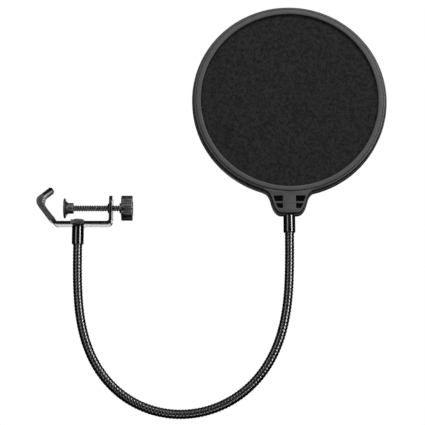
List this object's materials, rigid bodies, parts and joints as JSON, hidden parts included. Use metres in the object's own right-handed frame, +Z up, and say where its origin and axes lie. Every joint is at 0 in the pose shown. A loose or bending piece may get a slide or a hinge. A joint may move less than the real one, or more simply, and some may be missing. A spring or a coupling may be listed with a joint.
{
  "type": "pop filter",
  "caption": "Round double-screen pop filter on a bendable gooseneck with a screw clamp for a microphone stand.",
  "frame": {"origin": "middle of the clamp's jaw, on the clamp screw's axis, where a stand's tube is gripped", "axes": "+Z up, +X from the hook towards the clamp knob and the hoop, -Y out of the front screen"},
  "size_m": [0.2763, 0.0198, 0.3288],
  "materials": {
    "black_steel": "satin powder coat",
    "screw_steel": "black oxide, slightly glossy",
    "neck_wire": "semi-gloss black, coil wound",
    "gloss_sleeve": "glossy black",
    "hoop_plastic": "fine moulded texture",
    "grip_plastic": "moulded, matte",
    "knob_plastic": "moulded, matte",
    "screen_fabric": "fine open knit",
    "brass": "turned"
  },
  "bodies": {
    "clamp": {"clamp_bracket": "black_steel", "jaw_grip": "grip_plastic", "pivot_saddle": "grip_plastic"},
    "foot": {"pressure_foot": "grip_plastic"},
    "screw": {"clamp_screw": "screw_steel", "clamp_knob": "knob_plastic"},
    "neck_01": {"pivot_screw": "screw_steel", "lower_ferrule": "gloss_sleeve", "gooseneck_01": "neck_wire"},
    "neck_02": {"gooseneck_02": "neck_wire"},
    "neck_03": {"gooseneck_03": "neck_wire"},
    "neck_04": {"gooseneck_04": "neck_wire"},
    "neck_05": {"gooseneck_05": "neck_wire"},
    "neck_06": {"gooseneck_06": "neck_wire"},
    "neck_07": {"gooseneck_07": "neck_wire"},
    "neck_08": {"gooseneck_08": "neck_wire"},
    "neck_09": {"gooseneck_09": "neck_wire"},
    "neck_10": {"gooseneck_10": "neck_wire"},
    "neck_11": {"gooseneck_11": "neck_wire"},
    "neck_12": {"gooseneck_12": "neck_wire", "upper_ferrule": "gloss_sleeve"},
    "head": {"tab_insert": "brass", "hoop_front": "hoop_plastic", "hoop_rear": "hoop_plastic", "spacer_ring": "hoop_plastic", "screen_front": "screen_fabric", "screen_rear": "screen_fabric"}
  },
  "joints": [
    {"name": "foot_slide", "type": "slide", "parent": "clamp", "child": "foot", "axis": [1, 0, 0], "range_m": [-0.005, 0.026]},
    {"name": "screw_turn", "type": "hinge", "parent": "foot", "child": "screw", "pos_m": [0.03, 0, 0], "axis": [1, 0, 0], "range_deg": [-980, 5070]},
    {"name": "neck_swivel", "type": "hinge", "parent": "clamp", "child": "neck_01", "pos_m": [0.0186, 0, -0.0137], "axis": [0, 0, 1], "range_deg": [-180, 180]},
    {"name": "bend_01", "type": "hinge", "parent": "neck_01", "child": "neck_02", "pos_m": [0.01908, 0, -0.05881], "axis": [0, 1, 0], "range_deg": [-20, 35]},
    {"name": "bend_02", "type": "hinge", "parent": "neck_02", "child": "neck_03", "pos_m": [0.02221, 0, -0.08874], "axis": [0.9825, 0, 0.1864], "range_deg": [-30, 30]},
    {"name": "bend_03", "type": "hinge", "parent": "neck_03", "child": "neck_04", "pos_m": [0.03154, 0, -0.11727], "axis": [0, -1, 0], "range_deg": [-35, 20]},
    {"name": "bend_04", "type": "hinge", "parent": "neck_04", "child": "neck_05", "pos_m": [0.04961, 0, -0.14115], "axis": [-0.6676, 0, -0.7445], "range_deg": [-30, 30]},
    {"name": "bend_05", "type": "hinge", "parent": "neck_05", "child": "neck_06", "pos_m": [0.07544, 0, -0.15623], "axis": [0, 1, 0], "range_deg": [-20, 35]},
    {"name": "bend_06", "type": "hinge", "parent": "neck_06", "child": "neck_07", "pos_m": [0.10512, 0, -0.15994], "axis": [-0.0739, 0, 0.9973], "range_deg": [-30, 30]},
    {"name": "bend_07", "type": "hinge", "parent": "neck_07", "child": "neck_08", "pos_m": [0.13397, 0, -0.15198], "axis": [0, -1, 0], "range_deg": [-35, 20]},
    {"name": "bend_08", "type": "hinge", "parent": "neck_08", "child": "neck_09", "pos_m": [0.15773, 0, -0.13377], "axis": [0.7459, 0, -0.666], "range_deg": [-30, 30]},
    {"name": "bend_09", "type": "hinge", "parent": "neck_09", "child": "neck_10", "pos_m": [0.17352, 0, -0.10829], "axis": [0, 1, 0], "range_deg": [-20, 35]},
    {"name": "bend_10", "type": "hinge", "parent": "neck_10", "child": "neck_11", "pos_m": [0.18127, 0, -0.07926], "axis": [-0.9887, 0, 0.1499], "range_deg": [-30, 30]},
    {"name": "bend_11", "type": "hinge", "parent": "neck_11", "child": "neck_12", "pos_m": [0.18373, 0, -0.04926], "axis": [0, -1, 0], "range_deg": [-35, 20]},
    {"name": "head_swivel", "type": "hinge", "parent": "neck_12", "child": "head", "pos_m": [0.18411, 0, -0.0056], "axis": [0, 0, 1], "range_deg": [-90, 90]}
  ],
  "couplings": [
    {"joint": "screw_turn", "follows": "foot_slide", "rad_per_m": 3396.3}
  ]
}
